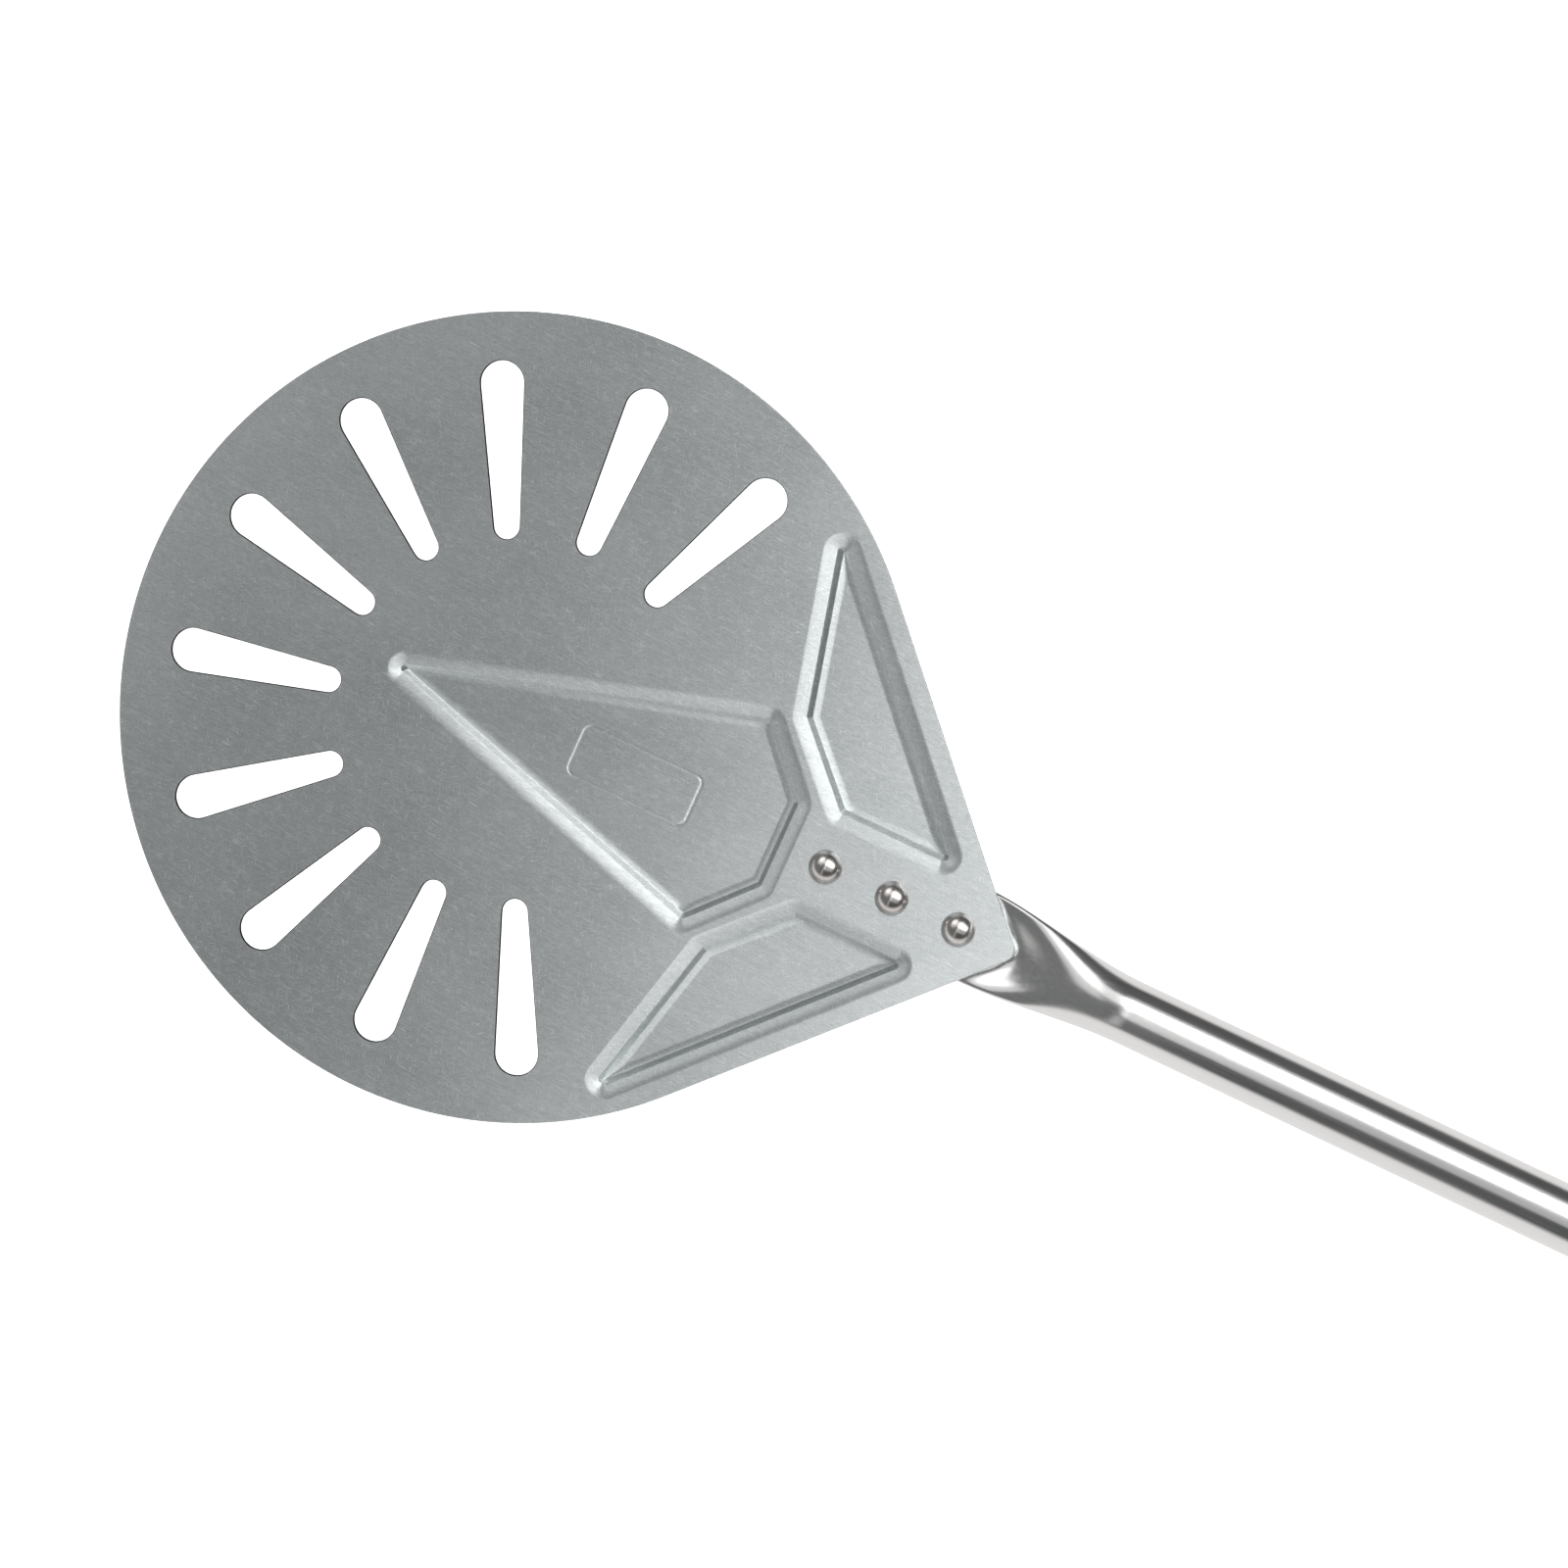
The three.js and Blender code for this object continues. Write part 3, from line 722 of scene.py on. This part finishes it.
def soft_ramp(t):
    """A straight ramp from 0 to 1 whose start is rounded off."""
    return (1 + CROWN_SOFTNESS) * t * t / (t + CROWN_SOFTNESS)


def skin_point(angle, x):
    """A point of the tube's skin. The strip opens into a circle, and its crown rises later than its edges,
    just behind the V of the blade, which leaves a tongue-shaped valley there."""
    up = math.sin(angle)
    strip_y, strip_z = strip_point(angle)
    start = NECK_START + CROWN_LAG * soft_ramp(max(0.0, up))
    risen = soft_ramp(min(1.0, max(0.0, (x - start) / (NECK_END - start))))
    y = mix(strip_y, TUBE_RADIUS * math.cos(angle), smoothstep(NECK_START, NECK_END, x))
    z = mix(strip_z, TUBE_RADIUS * up, risen * (2 - risen))
    return Vector((x, y, z + AXIS_HEIGHT))


def handle_tube():
    """The tube's rings run from the front end of the strip through the neck to the rear end, and then back
    inside the bore."""
    around = 160
    angles = [2 * math.pi * (a + 0.5) / around for a in range(around)]
    neck_steps = 110
    stations = [TUBE_FRONT + 0.8, TUBE_FRONT + 6, NECK_START - 8]
    stations += [mix(NECK_START, NECK_END, i / neck_steps) for i in range(neck_steps + 1)]
    points = []
    # Two rings drawn in by a share of the strip's width and height round off the front end.
    narrowing, flattening = 0.03, 0.35
    strip_middle = FLAT_BOTTOM + FLAT_HALF
    for inset, x in ((1.0, TUBE_FRONT), (0.35, TUBE_FRONT + 0.2)):
        for angle in angles:
            skin = skin_point(angle, x)
            height = mix(skin.z, strip_middle, flattening * inset)
            points.append((skin.x, skin.y * (1 - narrowing * inset), height))
    for x in stations:
        points += [tuple(skin_point(angle, x)) for angle in angles]
    rows = 2 + len(stations)
    # Behind the neck, rings of a radius at a place run out to the rear end, round its lip and into the bore.
    bore = TUBE_RADIUS - TUBE_WALL
    chamfer = 0.3
    behind_neck = [(TUBE_RADIUS, 40), (TUBE_RADIUS, 300), (TUBE_RADIUS, TUBE_REAR - chamfer),
                   (TUBE_RADIUS - chamfer, TUBE_REAR), (bore + chamfer, TUBE_REAR),
                   (bore, TUBE_REAR - chamfer), (bore, 6), (bore - 2.8, -6)]
    for radius, along in behind_neck:
        ring = [(along, radius * math.cos(a), radius * math.sin(a)) for a in angles]
        points += on_handle(ring)
        rows += 1
    faces = ring_faces(rows, around)
    faces.append(tuple(range(around - 1, -1, -1)))
    faces.append(tuple((rows - 1) * around + a for a in range(around)))
    made = piece("polished_tube", points, faces, TUBE_STEEL, "peel", ("handle_tube",))
    outward(made)
    sharpen(made, 50)


# Grips -----------------------------------------------------------------------------------------------

def turned_piece(name, profile, material, node, corner=0.4):
    """A piece of the sleeve, turned about the tube's axis."""
    points, faces = turned(rounded(profile, corner), around=96)
    made = piece(name, on_handle(points), faces, material, "sleeve", (node,))
    outward(made)
    sharpen(made, 35)


def sliding_sleeve():
    """The front hand's sleeve: a slight waist between its ends, and ring grooves along its middle."""
    lip = BUSH_FLANGE + BUSH_GAP
    front, rear = SLEEVE_FRONT + lip, SLEEVE_FRONT + SLEEVE_LENGTH - lip
    length = rear - front
    groove_start, groove_end = front + SLEEVE_PLAIN_END, rear - SLEEVE_PLAIN_END
    pitch = (groove_end - groove_start) / SLEEVE_GROOVES
    floor_half = pitch * 0.18

    def outer(x):
        """The sleeve's radius, widest at its ends."""
        return SLEEVE_MEAN_RADIUS + SLEEVE_WAIST * math.cos(2 * math.pi * (x - front) / length)

    # The ends are rounded off in two steps.
    face, shoulder, shoulder_length = SLEEVE_RADIUS - 0.9, SLEEVE_RADIUS - 0.1, 1.2
    profile = [(SLEEVE_BORE, front), (face, front), (shoulder, front + shoulder_length)]
    for x in (front + 5, front + 10, front + 16, groove_start - 1):
        profile.append((outer(x), x))
    for i in range(SLEEVE_GROOVES):
        middle = groove_start + (i + 0.5) * pitch
        floor = outer(middle) - SLEEVE_GROOVE_DEPTH
        near, far = middle - 2 * floor_half, middle + 2 * floor_half
        profile += [(outer(near), near), (floor, middle - floor_half), (floor, middle + floor_half),
                    (outer(far), far)]
    for x in (groove_end + 1, rear - 16, rear - 10, rear - 5):
        profile.append((outer(x), x))
    profile += [(shoulder, rear - shoulder_length), (face, rear), (SLEEVE_BORE, rear), (SLEEVE_BORE, front)]
    turned_piece("ribbed_sleeve", profile, GRIP_POLYMER, "sliding_sleeve")


def bush(name, node, start, direction):
    """A flanged bush pressed into one end of the sleeve."""
    bore = TUBE_RADIUS + 0.08
    outside = SLEEVE_BORE - 0.05
    rim = SLEEVE_RADIUS - 1
    chamfer = 0.3
    inner_end = BUSH_FLANGE + BUSH_LENGTH
    profile = [(bore + chamfer, 0), (rim - 0.2, 0), (rim, chamfer), (rim, BUSH_FLANGE),
               (outside, BUSH_FLANGE), (outside, inner_end), (bore, inner_end), (bore, chamfer),
               (bore + chamfer, 0)]
    profile = [(radius, start + direction * along) for radius, along in profile]
    turned_piece(name, profile, BUSH_POLYMER, node, corner=0.15)


def grip_section(x):
    """Half width, half height and squareness of the end grip's section at a place along the handle."""
    swell = math.sin(math.pi * smoothstep(GRIP_FRONT, GRIP_FRONT + GRIP_SWELL_LENGTH, x))
    barrel = GRIP_RADIUS + GRIP_SWELL * swell
    flare = smoothstep(POMMEL_PLACE - POMMEL_FLARE, POMMEL_PLACE, x)
    radius = mix(barrel, POMMEL_RADIUS, flare)
    flat = smoothstep(POMMEL_PLACE + POMMEL_FLATTENING[0], POMMEL_PLACE + POMMEL_FLATTENING[1], x)
    half_height = mix(radius, EYE_THICKNESS / 2, flat)
    half_width = mix(radius, EYE_RING_RADIUS, flat)
    ring_centre = HANDLE_END - EYE_RING_RADIUS
    if x > ring_centre:
        half_width = math.sqrt(max(0.0, EYE_RING_RADIUS ** 2 - (x - ring_centre) ** 2))
    # The front end is drawn in to a rounded lip.
    trim = 1.2 * (1 - smoothstep(GRIP_FRONT - 0.5, GRIP_FRONT + 3, x))
    return half_width - trim, half_height - trim, mix(2.0, EYE_SQUARENESS, flat)


def eye_cutter(place):
    """The shape of the hanging eye, flared at both faces so that the hole gets a rounded rim."""
    half = EYE_THICKNESS / 2
    rim = []
    for i in range(9):
        turn = math.pi / 2 * i / 8
        radius = EYE_RADIUS + EYE_FLARE * (1 - math.cos(turn))
        rim.append((radius, half - EYE_FLARE + EYE_FLARE * math.sin(turn)))
    widest = EYE_RADIUS + EYE_FLARE + 0.6
    profile = [(0, -half - 2), (widest, -half - 2)]
    profile += [(radius, -height) for radius, height in rim[::-1]] + rim
    profile += [(widest, half + 2), (0, half + 2)]
    points, faces = turned(profile, 72, axis="Z")
    mesh = bpy.data.meshes.new("eye_cutter")
    mesh.from_pydata([(x + place, y, z) for x, y, z in points], [], faces)
    cutter = bpy.data.objects.new("eye_cutter", mesh)
    bpy.context.scene.collection.objects.link(cutter)
    outward(cutter)
    return cutter


def grip_body(ring_centre):
    """The grip before its eye is cut: rings of its outside, closed at the rear, and a blind bore."""
    around = 128
    turns = [2 * math.pi * a / around for a in range(around)]
    places = [GRIP_FRONT + 0.15 * i for i in range(20)]
    places += [GRIP_FRONT + 3 + i for i in range(100)]
    places = [x for x in places if x < ring_centre]
    places += [ring_centre + (EYE_RING_RADIUS - 0.02) * math.sin(math.pi / 2 * i / 28) for i in range(29)]
    groove_first, groove_last = (GRIP_FRONT + place for place in GRIP_GROOVE_SPAN)
    points = []
    for x in places:
        half_width, half_height, power = grip_section(x)
        dip = 0.0
        if groove_first < x < groove_last:
            wave = math.cos(2 * math.pi * (x - groove_first) / GRIP_GROOVE_PITCH)
            dip = GRIP_GROOVE_DEPTH * max(0.0, wave) ** 2
        if x > ring_centre:
            # The ring's rear edge is thinned to a blunt rim.
            rim = half_width / EYE_RING_RADIUS
            half_height *= mix(0.45, 1.0, min(1.0, rim * 2.2) ** 0.5)
        for turn in turns:
            side, up = math.cos(turn), math.sin(turn)
            reach = (abs(side) ** power + abs(up) ** power) ** (-1 / power)
            points.append((x, (half_width - dip) * side * reach, (half_height - dip) * up * reach))
    rows = len(places)
    bore = TUBE_RADIUS + 0.05
    bore_rings = ((9.2, GRIP_FRONT), (8.4, GRIP_FRONT + 0.8), (bore, GRIP_FRONT + 2.0),
                  (bore, TUBE_REAR + GAP))
    for radius, x in bore_rings:
        points += [(x, radius * math.cos(turn), radius * math.sin(turn)) for turn in turns]
    faces = ring_faces(rows, around)
    faces.append(tuple((rows - 1) * around + a for a in range(around)))
    last = rows + len(bore_rings) - 1
    # The bore's rings join the front ring and each other.
    for near, far in [(0, rows)] + [(row, row + 1) for row in range(rows, last)]:
        for a in range(around):
            b = (a + 1) % around
            faces.append((near * around + a, far * around + a, far * around + b, near * around + b))
    faces.append(tuple(last * around + a for a in range(around - 1, -1, -1)))
    return points, faces


def end_grip():
    """The rear hand's grip. Its round barrel swells into a pommel and flattens into the ring of the eye."""
    ring_centre = HANDLE_END - EYE_RING_RADIUS
    points, faces = grip_body(ring_centre)
    body = bpy.data.meshes.new("grip_body")
    body.from_pydata(points, [], faces)
    grip = bpy.data.objects.new("moulded_end_grip", body)
    bpy.context.scene.collection.objects.link(grip)
    outward(grip)
    cutter = eye_cutter(ring_centre)
    cut = grip.modifiers.new("eye", "BOOLEAN")
    cut.operation = "DIFFERENCE"
    cut.solver = "EXACT"
    cut.object = cutter
    depsgraph = bpy.context.evaluated_depsgraph_get()
    finished = bpy.data.meshes.new_from_object(grip.evaluated_get(depsgraph))
    grip.modifiers.clear()
    bpy.data.objects.remove(cutter)
    finished.transform(Matrix.Scale(MM, 4) @ HANDLE)
    finished.polygons.foreach_set("use_smooth", [True] * len(finished.polygons))
    grip.data = finished
    grip.data.materials.clear()
    grip.data.materials.append(GRIP_POLYMER)
    sharpen(grip, 32)
    settle(grip, "peel", ("end_grip",))


def grip_pin():
    """A steel cross pin with slightly domed ends."""
    reach = GRIP_RADIUS + 0.35
    domed_end = [(0, 0), (PIN_RADIUS * 0.6, 0.08), (PIN_RADIUS - 0.1, 0.3), (PIN_RADIUS, 0.6)]
    profile = [(radius, drop - reach) for radius, drop in domed_end]
    profile += [(radius, reach - drop) for radius, drop in domed_end[::-1]]
    points, faces = turned(profile, 32, axis="Z")
    points = [(PIN_PLACE + x, z, y) for x, y, z in points]
    made = piece("cross_pin", on_handle(points), faces, TUBE_STEEL, "peel", ("grip_pin",))
    outward(made)


# Scene -----------------------------------------------------------------------------------------------

def studio():
    """A wide pale floor that curves up into a cove. It is left out of reflections, which see the world's
    pale lower half in its place, and it can be looked through from below."""
    around = 48
    points = [(0, 0, FLOOR_DROP)]
    for radius, height in COVE_SECTION:
        for a in range(around):
            turn = 2 * math.pi * a / around
            points.append((radius * math.cos(turn), radius * math.sin(turn), height + FLOOR_DROP))
    faces = [(0, 1 + a, 1 + (a + 1) % around) for a in range(around)]
    faces += [tuple(1 + v for v in face[::-1]) for face in ring_faces(len(COVE_SECTION), around)]
    cove_mesh = bpy.data.meshes.new("studio_cove")
    cove_mesh.from_pydata(points, [], faces)
    cove = bpy.data.objects.new("studio_cove", cove_mesh)
    bpy.context.scene.collection.objects.link(cove)
    cove.visible_glossy = False
    paint = Paint("pale_cove")
    paint.set(Base_Color=(COVE_TONE, COVE_TONE, COVE_TONE, 1), Roughness=0.9)
    paint.set(Emission_Color=(1, 1, 1, 1), Emission_Strength=COVE_GLOW)
    paint.shader.inputs["Specular IOR Level"].default_value = 0.0
    clear = paint.add("ShaderNodeBsdfTransparent")
    side = paint.add("ShaderNodeNewGeometry")
    choose = paint.add("ShaderNodeMixShader")
    paint.link(side.outputs["Backfacing"], choose.inputs["Fac"])
    paint.link(paint.shader.outputs["BSDF"], choose.inputs[1])
    paint.link(clear.outputs["BSDF"], choose.inputs[2])
    paint.link(choose.outputs["Shader"], paint.tree.nodes["Material Output"].inputs["Surface"])
    paint.material.cycles.emission_sampling = "NONE"
    cove_mesh.materials.append(paint.material)


def pale_dome():
    """A pale sky that only the camera sees, so that low views have the same ground as high ones."""
    sphere = bmesh.new()
    bmesh.ops.create_uvsphere(sphere, u_segments=48, v_segments=24, radius=DOME_RADIUS)
    dome_mesh = bpy.data.meshes.new("pale_dome")
    sphere.to_mesh(dome_mesh)
    sphere.free()
    made = bpy.data.objects.new("pale_dome", dome_mesh)
    bpy.context.scene.collection.objects.link(made)
    made.visible_diffuse = False
    made.visible_glossy = False
    made.visible_transmission = False
    made.visible_shadow = False
    paint = Paint("pale_sky")
    paint.set(Base_Color=(0, 0, 0, 1), Emission_Color=(1, 1, 1, 1), Emission_Strength=COVE_GLOW)
    paint.shader.inputs["Specular IOR Level"].default_value = 0.0
    paint.material.cycles.emission_sampling = "NONE"
    dome_mesh.materials.append(paint.material)


def world():
    """A pale lower half, tilted up on the -Y side, under a dark ceiling that is lighter towards -X."""
    made = bpy.data.worlds.new("studio_world")
    bpy.context.scene.world = made
    made.use_nodes = True
    tree = made.node_tree
    direction = tree.nodes.new("ShaderNodeTexCoord").outputs["Generated"]

    def share(axis, start, end):
        """How far the direction's component along an axis has come from start to end, as 0 to 1."""
        along = tree.nodes.new("ShaderNodeVectorMath")
        along.operation = "DOT_PRODUCT"
        along.inputs[1].default_value = axis
        tree.links.new(direction, along.inputs[0])
        place = tree.nodes.new("ShaderNodeMapRange")
        place.interpolation_type = "SMOOTHSTEP"
        place.inputs["From Min"].default_value = start
        place.inputs["From Max"].default_value = end
        tree.links.new(along.outputs["Value"], place.inputs["Value"])
        return place.outputs["Result"]

    def mixed(factor, first, second):
        """A blend of two colours, each a tuple or a node's output."""
        node = tree.nodes.new("ShaderNodeMix")
        node.data_type = "RGBA"
        tree.links.new(factor, node.inputs["Factor"])
        for socket, value in ((node.inputs["A"], first), (node.inputs["B"], second)):
            if isinstance(value, tuple):
                socket.default_value = (*value, 1)
            else:
                tree.links.new(value, socket)
        return node.outputs["Result"]

    tilt = math.radians(WORLD_TILT)
    upper = mixed(share((-1, 0, 0), *WORLD_LEFT_EDGE), WORLD_HIGH, WORLD_LEFT)
    everything = mixed(share((0, math.sin(tilt), math.cos(tilt)), *WORLD_HORIZON), WORLD_LOW, upper)
    tree.links.new(everything, tree.nodes["Background"].inputs["Color"])


def softbox(name, corner_a, corner_b, along, radiance):
    """A flat panel light between two edges: each runs in X over the same span, at its own (Y, Z) place."""
    start, end = along
    ya, za = corner_a
    yb, zb = corner_b
    data = bpy.data.lights.new(name, "AREA")
    data.shape = "RECTANGLE"
    data.size = end - start
    data.size_y = math.hypot(yb - ya, zb - za)
    data.energy = radiance * math.pi * data.size * data.size_y
    lamp = bpy.data.objects.new(name, data)
    bpy.context.scene.collection.objects.link(lamp)
    lamp.location = ((start + end) / 2, (ya + yb) / 2, (za + zb) / 2)
    lamp.rotation_euler = (math.atan2(zb - za, yb - ya), 0, 0)
    lamp.visible_camera = False


def lights():
    """The panel lights that the polished steel reflects."""
    for name, (corner_a, corner_b, along, radiance) in PANELS.items():
        softbox(name, corner_a, corner_b, along, radiance)


def camera():
    """Looks down on the blade as the photographer did."""
    data = bpy.data.cameras.new("photo_camera")
    data.lens = CAMERA_LENS
    data.sensor_width = SENSOR
    data.clip_end = CAMERA_REACH
    made = bpy.data.objects.new("photo_camera", data)
    bpy.context.scene.collection.objects.link(made)
    made.location = Vector(CAMERA_PLACE) * MM
    made.rotation_euler = [math.radians(a) for a in CAMERA_TURN]
    bpy.context.scene.camera = made


camera()
studio()
pale_dome()
world()
lights()
bpy.context.scene.view_settings.view_transform = "Standard"

blade()
for rivet_number, rivet_name in enumerate(RIVET_NAMES):
    rivet(rivet_name, rivet_number)
handle_tube()
sliding_sleeve()
bush("front_bush", "sleeve_bush_front", SLEEVE_FRONT, 1)
bush("rear_bush", "sleeve_bush_rear", SLEEVE_FRONT + SLEEVE_LENGTH, -1)
end_grip()
grip_pin()
plug = frame["nodes"]["tube_plug"].data
plug.materials.clear()
plug.materials.append(BUSH_POLYMER)
